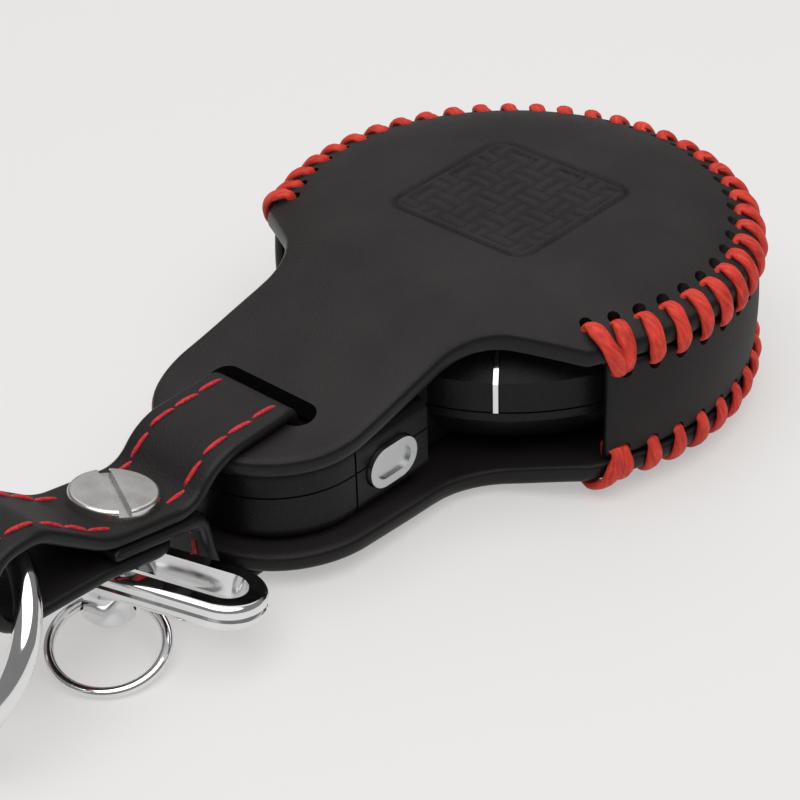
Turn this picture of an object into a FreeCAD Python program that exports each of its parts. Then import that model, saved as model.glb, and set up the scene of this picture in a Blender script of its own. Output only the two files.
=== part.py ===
import FreeCAD, Part
import math
import os
from FreeCAD import Vector

# A laced leather cover on its round key fob, with a screwed strap and its rings. Millimetres.
# +X runs from the tail to the round head, the release button is on the -Y side and +Z is up.
# The origin is under the middle of the head, on the surface that the cover lies on.

# Leather panels
leather = 2.0
head_radius = 26.0
head_height = 21.2
rim_drop = 2.4
crest_radius = 13.0
crest_flat = 0.06
tail_radius = 11.9
tail_reach = 35.5
tail_top = 14.8
tail_bottom = 1.8
slope_start = 12.0
slope_end = 42.0
neck_fillet = 8.0
shoulder_angle = 58.0
corner_angle = 123.0
pillow_fade_start = 125.0
pillow_fade_end = 165.0
surface_step = 4.0
overrun = 3.0
rim_fall_limit_share = 1.2

# Side gusset
gusset_leather = 1.6
gusset_inset = 0.2
gusset_bulge = 0.4
gusset_gap = 0.12
gusset_end_angle = 120.5

# Lacing
lace = 1.2
lace_sides = 5
lace_bend = 0.75
lace_count = 34
lace_end_angle = 121.5
lace_pair_angle = 4.8
lace_hole = 1.5
lace_hole_inset = 2.9
lace_hole_depth = 2.2
lace_tuck = 0.8

# Strap
tail_end = tail_reach + tail_radius
strap_leather = 1.4
strap_width = 11.0
strap_gap = 0.12
strap_clearance = 0.15
strap_set_back = 2.5
strap_x = -(tail_reach + strap_set_back)
slot_width = 3.4
slot_side_clearance = 1.2
stack_drop = 1.1
stack_top = tail_top - stack_drop
stack_tilt = 10.0
strap_crest_reach = 0.7
valley_reach = 5.4
valley_bend = 1.8
leg_reach = 3.1
leg_foot_reach = 1.2
strap_end_a_reach = 4.6
strap_end_b_reach = 4.2
strap_end_radius = 3.5
strap_rise_reach = 5.3
strap_rise_angle = 36.0
strap_rise_bend = 4.0
strap_bend = 1.6
strap_fold = 1.0
strap_crest_bend = 3.5
loop_reach = 18.4
loop_rise = 5.6
loop_bend = 3.0
loop_belly = 1.6
loop_belly_bend = 6.0
loop_shoulder_bend = 3.0

# Screw and its post
screw_reach = 9.2
screw_x = -(tail_end + screw_reach)
screw_head_radius = 4.3
screw_head_height = 1.1
screw_slot_width = 1.2
screw_slot_depth = 0.6
screw_slot_angle = 62.0
screw_shank_radius = 1.4
post_radius = 2.0
post_hole_clearance = 0.15
post_thread_clearance = 0.08
post_flange_radius = 3.6
post_flange_height = 0.6
post_neck_radius = 1.7
post_neck_length = 3.5
post_foot_radius = 2.6
post_foot_height = 4.1
post_foot_round = 0.7
eye_radius = 1.2

# Rings
small_ring_wire = 1.1
small_ring_radius = 5.5
small_ring_heading = -135.0
small_ring_set = 0.3
loop_ring_wire = 2.6
loop_ring_radius = 9.5
loop_ring_skew = 10.0
loop_ring_inset = 5.5
loop_ring_drop = 3.1
bow_bar = 1.9
bow_height = 2.6
bow_half_width = 3.2
bow_front = 14.5
bow_back = 7.0
bow_heading = -66.0
bow_slope = 3.0
bow_drop = 1.76
bow_groove = 0.5
bow_groove_depth = 0.3

# Key fob
fob_clearance = 0.25
fob_face_clearance = 0.3
stem_clearance = 0.2
stem_side_clearance = 2.0
fob_parting = 9.2
parting_gap = 0.2
fob_radius = head_radius - gusset_inset - gusset_leather - lace_bend - lace / 2 - fob_clearance
fob_top = head_height - leather - fob_face_clearance
fob_bottom = leather + fob_face_clearance
fob_top_flat_radius = 13.0
fob_bottom_flat_radius = 15.0
fob_shoulder = 6.2
fob_heel = 5.9
fob_wall_top = fob_top - fob_shoulder
fob_wall_bottom = fob_bottom + fob_heel
fob_top_belly = 0.9
fob_bottom_belly = 1.5
neck_half_width = 7.2
neck_rise = 3.2
neck_bottom_set = 0.2
stem_half_width = tail_radius - stem_side_clearance
stem_top = tail_top - leather - stem_clearance
stem_bottom = tail_bottom + leather + stem_clearance
stem_length = 10.4
stem_round = 1.5
handle_joint_inset = 0.6
handle_joint_gap = 0.25
handle_joint_x = -(tail_reach - handle_joint_inset)
handle_hole_clearance = 0.3
stem_front_x = handle_joint_x + stem_length
neck_top = fob_parting + neck_rise
neck_bottom = stem_bottom + neck_bottom_set
trim_angle = 143.0
trim_width_angle = 1.3
trim_depth = 0.7
trim_proud = 0.25
trim_clearance = 0.1
trim_clear_angle = 0.25
trim_top_set = 1.6
cavity_wall = 5.6
cavity_radius = fob_radius - cavity_wall
cavity_roof = 3.5
cavity_top = fob_top - cavity_roof

# Inside the fob
board_clearance = 0.8
board_radius = cavity_radius - board_clearance
board_thickness = 1.0
cell_radius = 10.0
cell_height = 2.5
cell_x = 2.5
cell_clearance = 0.2
battery_cover_radius = 12.0
battery_cover_height = 1.8
blade_width = 7.0
blade_thickness = 1.4
cell_bottom = fob_bottom + battery_cover_height + cell_clearance / 2
blade_over_cell = 0.3
blade_bottom = cell_bottom + cell_height + blade_over_cell
blade_length = 27.6
blade_root_depth = 1.2
blade_root_x = handle_joint_x - blade_root_depth
blade_tip_x = blade_root_x + blade_length
blade_tip_length = 4.0
blade_clearance = 0.2

# Buttons
release_length = 6.6
release_height = 4.4
release_reach = 4.9
release_x = handle_joint_x + release_reach
release_proud = 0.6
release_depth = 2.0
release_travel = 0.9
release_dish_depth = 0.35
release_rim = 0.9
button_clearance = 0.15
face_button_radius = 3.5
face_button_pitch = 9.0
face_button_drop = 0.06
face_button_travel = 0.4
face_button_overhang = 0.2

up = Vector(0, 0, 1)
origin = Vector(0, 0, 0)


def polar(radius, degrees, height):
    """Point at a radius and an angle about the head's axis."""
    a = math.radians(degrees)
    return Vector(radius * math.cos(a), radius * math.sin(a), height)


def smooth(share):
    """Ease from 0 to 1 with level ends."""
    share = min(1, max(0, share))
    return share * share * (3 - 2 * share)


def rim_fall(x, y):
    """How far the laced rim draws the panels in, fading out towards the open neck."""
    angle = math.degrees(abs(math.atan2(y, x)))
    share = (math.hypot(x, y) - crest_radius) / (head_radius - crest_radius)
    fade = 1 - smooth((angle - pillow_fade_start) / (pillow_fade_end - pillow_fade_start))
    return rim_drop * fade * min(max(share, 0), rim_fall_limit_share) ** 2


def tail_slope(x):
    """Share of the slope from the head's level down to the tail's."""
    return smooth((-x - slope_start) / (slope_end - slope_start))


def top_z(x, y):
    return head_height - rim_fall(x, y) - (head_height - tail_top) * tail_slope(x)


def bottom_z(x, y):
    return rim_fall(x, y) + tail_bottom * tail_slope(x) - crest_flat


def steps(low, high):
    """Evenly spaced places from low to high, about one surface step apart."""
    count = math.ceil((high - low) / surface_step)
    return [low + (high - low) * i / count for i in range(count + 1)]


def curved_face(height):
    """Smooth face through the heights over the whole outline's box."""
    xs = steps(-tail_reach - tail_radius - overrun, head_radius + overrun)
    ys = steps(-head_radius - overrun, head_radius + overrun)
    surface = Part.BSplineSurface()
    surface.interpolate([[Vector(x, y, height(x, y)) for y in ys] for x in xs])
    return surface.toShape()


def outline_face(height):
    """The paddle outline: round head, straight shoulders, hollow neck and round tail."""
    turn = math.radians(shoulder_angle)
    corner = polar(head_radius, -corner_angle, height)
    neck_y = tail_radius + neck_fillet * (1 - math.cos(turn))
    run = (-corner.y - neck_y) / math.sin(turn)
    neck_x = corner.x - run * math.cos(turn)
    start_x = neck_x - neck_fillet * math.sin(turn)
    half = math.radians(shoulder_angle / 2)
    mid_x = start_x + neck_fillet * math.sin(half)
    mid_y = tail_radius + neck_fillet * (1 - math.cos(half))

    def at(x, y, side):
        return Vector(x, side * y, height)

    edges = []
    for side in (-1, 1):
        edges.append(Part.makeLine(at(-tail_reach, tail_radius, side), at(start_x, tail_radius, side)))
        edges.append(Part.Arc(at(start_x, tail_radius, side), at(mid_x, mid_y, side),
                              at(neck_x, neck_y, side)).toShape())
        edges.append(Part.makeLine(at(neck_x, neck_y, side), at(corner.x, -corner.y, side)))
    edges.append(Part.Arc(at(-tail_reach, tail_radius, 1), at(-tail_reach - tail_radius, 0, 1),
                          at(-tail_reach, tail_radius, -1)).toShape())
    edges.append(Part.Arc(at(corner.x, -corner.y, 1), at(head_radius, 0, 1),
                          at(corner.x, -corner.y, -1)).toShape())
    return Part.Face(Part.Wire(Part.__sortEdges__(edges)))


def pill(center_x, length_y, width_x, low, high):
    """Upright prism with round ends, long across the cover."""
    radius = width_x / 2
    reach = length_y / 2 - radius
    core = Part.makeBox(width_x, 2 * reach, high - low, Vector(center_x - radius, -reach, low))
    ends = [Part.makeCylinder(radius, high - low, Vector(center_x, side * reach, low)) for side in (-1, 1)]
    return core.multiFuse(ends).removeSplitter()


def diamond_prism(start, end, width, side_axis):
    """Square prism on its corner along a line, as an awl leaves it."""
    along = (end - start).normalize()
    across = (side_axis - along * side_axis.dot(along)).normalize()
    third = along.cross(across)
    half = width / math.sqrt(2)
    points = [start + across * half, start + third * half, start - across * half, start - third * half]
    return Part.Face(Part.makePolygon(points + points[:1])).extrude(end - start)


# Lacing route: each stitch rises through the panel, goes over the rim and in through the gusset

def gusset_hole_height(side):
    """Height of the lace holes in the gusset, measured from the panel that it meets."""
    if side > 0:
        return top_z(head_radius, 0) - leather - lace_hole_depth
    return bottom_z(head_radius, 0) + leather + lace_hole_depth


def face_height(side, point):
    return top_z(point.x, point.y) if side > 0 else bottom_z(point.x, point.y)


def stitch_angles():
    """Panel hole and gusset hole angle of each stitch; the end stitches lean to their neighbour."""
    pitch = 2 * lace_end_angle / (lace_count - 1)
    angles = [-lace_end_angle + pitch * i for i in range(lace_count)]
    lower = list(angles)
    lower[0] = angles[1] - lace_pair_angle
    lower[-1] = angles[-2] + lace_pair_angle
    return list(zip(angles, lower))


def stitch_corners(side):
    """Four corners of every stitch: over the panel hole, over the rim, at the gusset and inside it."""
    hole_radius = head_radius - lace_hole_inset
    outer = head_radius + lace_bend
    inner = head_radius - gusset_inset - gusset_leather - lace_bend
    level = gusset_hole_height(side)
    stitches = []
    for upper, lower in stitch_angles():
        hole = polar(hole_radius, upper, 0)
        rim = polar(head_radius, (upper + lower) / 2, 0)
        over_hole = hole + up * (face_height(side, hole) + side * lace_bend)
        over_rim = polar(outer, (upper + lower) / 2, face_height(side, rim) + side * lace_bend)
        stitches.append((over_hole, over_rim, polar(outer, lower, level), polar(inner, lower, level)))
    return stitches


def lace_route(side):
    """All corners of one seam's lace, from its tucked start to its tucked end."""
    stitches = stitch_corners(side)
    first = stitches[0][0] - up * side * (lace_bend + leather + lace_tuck)
    last_in = stitches[-1][3]
    last = last_in - Vector(last_in.x, last_in.y, 0).normalize() * (lace_bend / 2)
    corners = [corner for stitch in stitches for corner in stitch]
    return [first] + corners[:-1] + [last]


def lace_section(point, tangent):
    """Polygon across the cord, steady about the direction round the head."""
    around = up.cross(Vector(point.x, point.y, 0)).normalize()
    across = (around - tangent * around.dot(tangent)).normalize()
    third = tangent.cross(across)
    corners = []
    for i in range(lace_sides):
        a = 2 * math.pi * i / lace_sides
        corners.append(point + across * (lace / 2 * math.cos(a)) + third * (lace / 2 * math.sin(a)))
    return Part.makePolygon(corners + corners[:1])


def lace_stations(route):
    """Places and directions along the cord: both ends, and three on the round of each corner."""
    stations = [(route[0], (route[1] - route[0]).normalize())]
    for before, corner, after in zip(route, route[1:], route[2:]):
        t_in = (corner - before).normalize()
        t_out = (after - corner).normalize()
        half_turn = t_in.getAngle(t_out) / 2
        trim = lace_bend * math.tan(half_turn)
        middle = (t_in + t_out).normalize()
        inward = (t_out - t_in).normalize()
        sag = lace_bend * (1 / math.cos(half_turn) - 1)
        stations.append((corner - t_in * trim, t_in))
        stations.append((corner + inward * sag, middle))
        stations.append((corner + t_out * trim, t_out))
    stations.append((route[-1], (route[-1] - route[-2]).normalize()))
    return stations


def self_gap(points):
    """Least gap between parts of the cord that lie further apart along it than a bend takes."""
    dense = []
    travelled = 0
    for a, b in zip(points, points[1:]):
        count = math.ceil((b - a).Length / (lace / 2))
        dense += [(travelled + (b - a).Length * i / count, a + (b - a) * (i / count)) for i in range(count)]
        travelled += (b - a).Length
    past_bend = 2 * math.pi * lace_bend
    near = [(p - q).Length for i, (s, p) in enumerate(dense) for t, q in dense[i + 1:] if t - s > past_bend]
    return min(near) - lace


def make_lacing(side):
    stations = lace_stations(lace_route(side))
    sections = [lace_section(point, tangent) for point, tangent in stations]
    points = [point for point, tangent in stations]
    length = sum((b - a).Length for a, b in zip(points, points[1:]))
    gap = self_gap(points)
    print("lacing", side, "length", round(length, 1), "least gap to itself", round(gap, 2))
    return Part.makeLoft(sections, True, True)


def panel_holes(side):
    """Awl holes in a panel, along the lace where it rises through the leather."""
    stitches = stitch_corners(side)
    first = stitches[0][0] - up * side * (lace_bend + leather + lace_tuck)
    starts = [first] + [stitch[3] for stitch in stitches[:-1]]
    holes = []
    for start, stitch in zip(starts, stitches):
        end = stitch[0]
        beyond = end + (end - start).normalize() * overrun
        holes.append(diamond_prism(start, beyond, lace_hole, end.cross(up)))
    return Part.makeCompound(holes)


def gusset_holes(side):
    holes = []
    for stitch in stitch_corners(side):
        outward = Vector(stitch[2].x, stitch[2].y, 0).normalize()
        within = stitch[3] - outward * overrun
        holes.append(diamond_prism(within, stitch[2] + outward * overrun, lace_hole, up))
    return holes


def slot_cutter():
    length = strap_width + 2 * slot_side_clearance
    center = strap_x + slot_width / 2 - strap_leather / 2 - strap_clearance
    return pill(center, length, slot_width, -overrun, head_height + overrun)


def make_top_panel():
    sheet = curved_face(top_z).extrude(-up * leather)
    panel = sheet.common(outline_face(-overrun).extrude(up * (head_height + 2 * overrun)))
    return panel.cut(slot_cutter()).cut(panel_holes(1))


def make_bottom_panel():
    sheet = curved_face(bottom_z).extrude(up * leather)
    panel = sheet.common(outline_face(0).extrude(up * (head_height + overrun)))
    return panel.cut(slot_cutter()).cut(panel_holes(-1))


def make_gusset():
    """Bowed strip round the head between the two panels."""
    outer = head_radius - gusset_inset
    inner = outer - gusset_leather
    high = top_z(outer, 0) - leather - gusset_gap
    low = bottom_z(outer, 0) + leather + gusset_gap
    middle = (high + low) / 2
    outside = Part.Arc(Vector(outer, 0, low), Vector(outer + gusset_bulge, 0, middle), Vector(outer, 0, high))
    inside = Part.Arc(Vector(inner, 0, high), Vector(inner + gusset_bulge, 0, middle), Vector(inner, 0, low))
    edges = [outside.toShape(), Part.makeLine(Vector(outer, 0, high), Vector(inner, 0, high)),
             inside.toShape(), Part.makeLine(Vector(inner, 0, low), Vector(outer, 0, low))]
    profile = Part.Face(Part.Wire(edges))
    profile.rotate(origin, up, -gusset_end_angle)
    strip = profile.revolve(origin, up, 2 * gusset_end_angle)
    return strip.cut(Part.makeCompound(gusset_holes(1) + gusset_holes(-1)))


# Strap: one strip from the stack under the screw, through both slots, over the tail and round its loop

def layer_depth(index):
    """Depth of the middle of a strap layer under the screw, counted from the top."""
    return strap_leather / 2 + index * (strap_leather + strap_gap)


def stack_point(along, depth):
    """Place by the screw, measured along the leaning layers and down from their top."""
    a = math.radians(stack_tilt)
    return Vector(screw_x + along * math.cos(a) - depth * math.sin(a), 0,
                  stack_top - along * math.sin(a) - depth * math.cos(a))


def layer_at(x, depth):
    """Where a layer's middle line, carried on straight, reaches x."""
    a = math.radians(stack_tilt)
    return stack_point((x - screw_x + depth * math.sin(a)) / math.cos(a), depth)


def leaning(shape):
    """Leans an upright piece of the screw's set with the strap's layers."""
    return shape.rotated(Vector(screw_x, 0, stack_top), Vector(0, 1, 0), stack_tilt)


def strap_corners():
    """Corners of the strap's middle line in the XZ plane, each with its bend radius."""
    half = strap_leather / 2 + strap_clearance
    under = bottom_z(strap_x, 0) - half
    over = top_z(strap_x, 0) + half
    crest_x = -(tail_end + strap_crest_reach)
    crest = top_z(crest_x, 0) + half
    foot_x = -(tail_end + leg_foot_reach)
    start = stack_point(-strap_end_a_reach, layer_depth(1))
    leg = layer_at(-(tail_end + leg_reach), layer_depth(1))
    valley = stack_point(valley_reach, layer_depth(0))
    rise = stack_point(-strap_rise_reach, layer_depth(0))
    loop_top = stack_top + loop_rise
    loop_left = screw_x - loop_reach
    shoulder_x = rise.x - (loop_top - rise.z) / math.tan(math.radians(strap_rise_angle))
    belly = stack_point(-strap_rise_reach, layer_depth(2))
    heel = layer_at(loop_left, layer_depth(2)) - up * loop_belly
    end = stack_point(strap_end_b_reach, layer_depth(2))
    return [(start.x, start.z, 0), (leg.x, leg.z, strap_bend), (foot_x, under, strap_bend),
            (strap_x, under, strap_fold), (strap_x, over, strap_fold), (crest_x, crest, strap_crest_bend),
            (valley.x, valley.z, valley_bend), (rise.x, rise.z, strap_rise_bend),
            (shoulder_x, loop_top, loop_shoulder_bend), (loop_left, loop_top, loop_bend),
            (heel.x, heel.z, loop_bend), (belly.x, belly.z, loop_belly_bend), (end.x, end.z, 0)]


def rounded_path(corners):
    """Straight runs joined by tangent arcs through (x, z, radius) corners, and its length."""
    points = [Vector(x, 0, z) for x, z, radius in corners]
    edges = []
    at = points[0]
    for before, corner, after, (x, z, radius) in zip(points, points[1:], points[2:], corners[1:]):
        t_in = (corner - before).normalize()
        t_out = (after - corner).normalize()
        half_turn = t_in.getAngle(t_out) / 2
        trim = radius * math.tan(half_turn)
        inward = (t_out - t_in).normalize()
        start = corner - t_in * trim
        middle = corner + inward * (radius * (1 / math.cos(half_turn) - 1))
        end = corner + t_out * trim
        edges.append(Part.makeLine(at, start))
        edges.append(Part.Arc(start, middle, end).toShape())
        at = end
    edges.append(Part.makeLine(at, points[-1]))
    return Part.Wire(edges)


def make_strap():
    path = rounded_path(strap_corners())
    start_x = screw_x - strap_end_a_reach
    start_z = stack_top - layer_depth(1)
    half = strap_width / 2
    thick = strap_leather / 2
    corners = ((-half, -thick), (half, -thick), (half, thick), (-half, thick), (-half, -thick))
    section = Part.makePolygon([Vector(start_x, y, start_z + z) for y, z in corners])
    strip = path.makePipeShell([leaning(section)], True, False)
    swept = path.Length * strap_width * strap_leather
    print("strap length", round(path.Length, 1), "volume over swept", round(strip.Volume / swept, 4))
    return strip.cut(strap_end_corners()).cut(post_bore())


def strap_end_corners():
    """What the two corners of the strap's free end lose to their rounding."""
    third = stack_top - layer_depth(2)
    low = third - strap_leather / 2 - strap_gap / 2
    height = strap_leather + strap_gap
    half = strap_width / 2
    radius = strap_end_radius
    place = Vector(screw_x + strap_end_b_reach - radius, half - radius, low)
    corner = Part.makeBox(radius + overrun, radius + overrun, height, place)
    corner = corner.cut(Part.makeCylinder(radius, height, place))
    return leaning(Part.makeCompound([corner, corner.mirror(origin, Vector(0, 1, 0))]))


def post_bore():
    bore = Part.makeCylinder(post_radius + post_hole_clearance, head_height, Vector(screw_x, 0, 0))
    return leaning(bore)


# Screw, post and the rings that hang on it

def stack_bottom():
    return stack_top - layer_depth(2) - strap_leather / 2


def neck_top_height():
    return stack_bottom() - post_flange_height


def foot_top_height():
    return neck_top_height() - post_neck_length


def foot_bottom_height():
    return foot_top_height() - post_foot_height


def eye_place():
    """Middle of the eye in the leaning post's foot."""
    return stack_point(0, stack_top - (foot_top_height() + foot_bottom_height()) / 2)


def make_strap_screw():
    head = Part.makeCylinder(screw_head_radius, screw_head_height, Vector(screw_x, 0, stack_top))
    head_top = stack_top + screw_head_height
    edge = [e for e in head.Edges if abs(e.BoundBox.ZMin - head_top) < crest_flat and e.Closed]
    head = head.makeFillet(screw_head_height / 3, edge)
    slot = Part.makeBox(3 * screw_head_radius, screw_slot_width, screw_head_height,
                        Vector(-1.5 * screw_head_radius, -screw_slot_width / 2, 0))
    slot.rotate(origin, up, screw_slot_angle)
    slot.translate(Vector(screw_x, 0, head_top - screw_slot_depth))
    shank = Part.makeCylinder(screw_shank_radius, stack_top - stack_bottom(),
                              Vector(screw_x, 0, stack_bottom()))
    return leaning(head.cut(slot).fuse(shank).removeSplitter())


def ring_direction(heading):
    return polar(1, heading, 0)


def make_screw_post():
    """Tube through the strap, flange under it, then a waisted stud whose foot has an eye."""
    neck_top = neck_top_height()
    foot_top = foot_top_height()
    foot_low = foot_bottom_height()
    tube_top = stack_top - strap_gap
    outline = [(0, foot_low), (post_foot_radius - post_foot_round, foot_low),
               (post_foot_radius, foot_low + post_foot_round), (post_foot_radius, foot_top - post_foot_round),
               (post_foot_radius - post_foot_round, foot_top), (post_neck_radius, foot_top),
               (post_neck_radius, neck_top), (post_flange_radius, neck_top),
               (post_flange_radius, stack_bottom()), (post_radius, stack_bottom()),
               (post_radius, tube_top), (0, tube_top), (0, foot_low)]
    face = Part.Face(Part.makePolygon([Vector(r, 0, z) for r, z in outline]))
    body = face.revolve(origin, up, 360)
    body.translate(Vector(screw_x, 0, 0))
    thread = Part.makeCylinder(screw_shank_radius + post_thread_clearance, stack_top,
                               Vector(screw_x, 0, stack_bottom() - post_thread_clearance))
    across = ring_direction(small_ring_heading + 90)
    reach = 2 * post_foot_radius
    eye = Part.makeCylinder(eye_radius, 2 * reach, eye_place() - across * reach, across)
    return leaning(body.cut(thread)).cut(eye)


def lying_ring(radius, wire, top, heading, low):
    """Round ring that hangs from its top point and leans down to the level low, or straight down."""
    slope = math.asin(min(1, (top.z - low - wire / 2) / (2 * radius)))
    along = ring_direction(heading)
    down = along * math.cos(slope) - up * math.sin(slope)
    normal = ring_direction(heading + 90).cross(down)
    return Part.makeTorus(radius, wire / 2, top + down * radius, normal)


def make_small_ring():
    top = eye_place() - ring_direction(small_ring_heading) * small_ring_set
    return lying_ring(small_ring_radius, small_ring_wire, top, small_ring_heading, 0)


def loop_ring_top():
    """Where the round ring's middle line is highest, inside the strap's loop."""
    return Vector(screw_x - loop_reach + loop_ring_inset, 0, stack_top + loop_rise - loop_ring_drop)


def make_loop_ring():
    return lying_ring(loop_ring_radius, loop_ring_wire, loop_ring_top(), 180 - loop_ring_skew, 0)


def bow_plate(radius, height):
    """Flat bar with round ends, as long as the bow."""
    front = bow_front - bow_half_width
    back = bow_half_width - bow_back
    run = Part.makeBox(front - back, 2 * radius, height, Vector(back, -radius, -height / 2))
    ends = [Part.makeCylinder(radius, height, Vector(x, 0, -height / 2)) for x in (back, front)]
    return run.multiFuse(ends).removeSplitter()


def make_key_bow():
    """Long narrow bow round the waist of the stud, grooved round its outer side."""
    outer = bow_half_width + bow_bar / 2
    inner = bow_half_width - bow_bar / 2
    blank = bow_plate(outer, bow_height)
    rims = [e for e in blank.Edges if abs(e.BoundBox.ZLength) < crest_flat]
    groove = bow_plate(outer + bow_bar, bow_groove).cut(bow_plate(outer - bow_groove_depth, bow_groove))
    bow = blank.makeFillet(bow_bar / 3, rims).cut(bow_plate(inner, bow_height)).cut(groove)
    bow.rotate(origin, Vector(0, 1, 0), bow_slope)
    bow.rotate(origin, up, bow_heading)
    bow.translate(Vector(screw_x, 0, neck_top_height() - bow_drop))
    return leaning(bow)


# Key fob

def head_solid(grow):
    """Domed round head of the fob, turned from its half section, larger all round by grow."""
    radius = fob_radius + grow
    top = fob_top + grow
    bottom = fob_bottom - grow
    mid_top = Vector((fob_top_flat_radius + radius) / 2, 0, (top + fob_wall_top) / 2 + fob_top_belly)
    mid_bottom = Vector((fob_bottom_flat_radius + radius) / 2, 0,
                        (bottom + fob_wall_bottom) / 2 - fob_bottom_belly)
    top_in = Vector(fob_top_flat_radius, 0, top)
    top_out = Vector(radius, 0, fob_wall_top)
    low_out = Vector(radius, 0, fob_wall_bottom)
    low_in = Vector(fob_bottom_flat_radius, 0, bottom)
    axis_top = Vector(0, 0, top)
    axis_low = Vector(0, 0, bottom)
    edges = [Part.makeLine(axis_top, top_in), Part.Arc(top_in, mid_top, top_out).toShape(),
             Part.makeLine(top_out, low_out), Part.Arc(low_out, mid_bottom, low_in).toShape(),
             Part.makeLine(low_in, axis_low), Part.makeLine(axis_low, axis_top)]
    return Part.Face(Part.Wire(edges)).revolve(origin, up, 360)


def stem_solid():
    """Tail of the fob: flat sides, a round end and soft edges above and below."""
    height = stem_top - stem_bottom
    block = Part.makeBox(tail_reach + stem_front_x, 2 * stem_half_width, height,
                         Vector(-tail_reach, -stem_half_width, stem_bottom))
    end = Part.makeCylinder(stem_half_width, height, Vector(-tail_reach, 0, stem_bottom))
    stem = block.fuse(end).removeSplitter()
    rims = [e for e in stem.Edges
            if e.BoundBox.ZLength < crest_flat and e.BoundBox.XMin < stem_front_x - crest_flat]
    return stem.makeFillet(stem_round, rims)


def half_space(low, high):
    reach = 4 * head_radius
    return Part.makeBox(2 * reach, 2 * reach, high - low, Vector(-reach, -reach, low))


def behind(x):
    """Everything on the tail side of x."""
    reach = 4 * head_radius
    return Part.makeBox(reach, 2 * reach, 2 * reach, Vector(x - reach, -reach, -reach))


def upper_half():
    return half_space(fob_parting + parting_gap / 2, head_height + overrun)


def lower_half():
    return half_space(-overrun, fob_parting - parting_gap / 2)


def fob_body():
    neck = Part.makeBox(-stem_front_x, 2 * neck_half_width, neck_top - neck_bottom,
                        Vector(stem_front_x, -neck_half_width, neck_bottom))
    stem = stem_solid().cut(behind(handle_joint_x + handle_joint_gap))
    return head_solid(0).multiFuse([neck, stem]).removeSplitter()


def trim_band(depth, proud, spread):
    """Thin bands up the side and over the shoulder of the head, on both sides of the neck."""
    skin = head_solid(proud).cut(head_solid(-depth))
    low = fob_parting + parting_gap / 2
    reach = 2 * head_radius
    slab = Part.Face(Part.makePolygon([Vector(r, 0, z) for r, z in
        ((fob_top_flat_radius, low), (reach, low), (reach, fob_top - trim_top_set),
         (fob_top_flat_radius, fob_top - trim_top_set), (fob_top_flat_radius, low))]))
    bands = []
    for start in (trim_angle - spread, -trim_angle - trim_width_angle - spread):
        wedge = slab.copy()
        wedge.rotate(origin, up, start)
        bands.append(skin.common(wedge.revolve(origin, up, trim_width_angle + 2 * spread)))
    return Part.makeCompound([solid for band in bands for solid in band.Solids])


def release_shape(length, height, low, high):
    """Pill on the button side, from y = low to y = high."""
    radius = height / 2
    reach = length / 2 - radius
    middle = (stem_top + stem_bottom) / 2
    core = Part.makeBox(2 * reach, high - low, height, Vector(release_x - reach, low, middle - radius))
    through = Vector(0, 1, 0)
    ends = [Part.makeCylinder(radius, high - low, Vector(release_x + side * reach, low, middle), through)
            for side in (-1, 1)]
    return core.multiFuse(ends).removeSplitter()


def release_well():
    clear = 2 * button_clearance
    inner = -stem_half_width + release_depth + release_travel + button_clearance
    return release_shape(release_length + clear, release_height + clear, -stem_half_width - overrun, inner)


def make_release_button():
    face = -stem_half_width - release_proud
    button = release_shape(release_length, release_height, face, -stem_half_width + release_depth)
    dish = release_shape(release_length - 2 * release_rim, release_height - 2 * release_rim,
                         face - overrun, face + release_dish_depth)
    return button.cut(dish)


def face_button_places():
    return [Vector(face_button_pitch * i, 0, 0) for i in (1, 0, -1)]


def face_wells():
    radius = face_button_radius + button_clearance
    return [Part.makeCylinder(radius, fob_top - cavity_top + 2 * overrun, place + up * (cavity_top - overrun))
            for place in face_button_places()]


def make_face_button(index):
    bottom = cavity_top - face_button_overhang
    top = fob_top - face_button_drop
    return Part.makeCylinder(face_button_radius, top - bottom, face_button_places()[index] + up * bottom)


def blade_slot():
    wide = blade_width + 2 * blade_clearance
    length = blade_tip_x + blade_clearance - handle_joint_x
    return Part.makeBox(length, wide, blade_thickness + 2 * blade_clearance,
                        Vector(handle_joint_x, -wide / 2, blade_bottom - blade_clearance))


def make_upper_shell():
    shell = fob_body().common(upper_half())
    cavity = Part.makeCylinder(cavity_radius, cavity_top - fob_parting, up * fob_parting)
    groove = trim_band(trim_depth + trim_clearance, overrun, trim_clear_angle)
    return shell.cut(Part.makeCompound(face_wells())).cut(cavity).cut(groove).cut(release_well())


def battery_pocket():
    """Round pocket for the cell, opened below for its cover."""
    seat = fob_bottom + battery_cover_height + cell_clearance
    cell = Part.makeCylinder(cell_radius + cell_clearance, fob_parting - seat, Vector(cell_x, 0, seat))
    door = Part.makeCylinder(battery_cover_radius + cell_clearance, seat - fob_bottom + overrun,
                             Vector(cell_x, 0, fob_bottom - overrun))
    return cell.fuse(door)


def make_lower_shell():
    shell = fob_body().common(lower_half())
    return shell.cut(battery_pocket()).cut(blade_slot()).cut(release_well())


def make_battery_cover():
    return Part.makeCylinder(battery_cover_radius, battery_cover_height, Vector(cell_x, 0, fob_bottom))


def make_coin_cell():
    return Part.makeCylinder(cell_radius, cell_height, Vector(cell_x, 0, cell_bottom))


def make_circuit_board():
    return Part.makeCylinder(board_radius, board_thickness, up * fob_parting)


def handle_blank():
    """Tail end of the fob, pierced from face to face where the strap passes."""
    handle = stem_solid().common(behind(handle_joint_x))
    length = strap_width + 2 * slot_side_clearance
    return handle.cut(pill(strap_x, length, strap_leather + 2 * handle_hole_clearance, 0, head_height))


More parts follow.
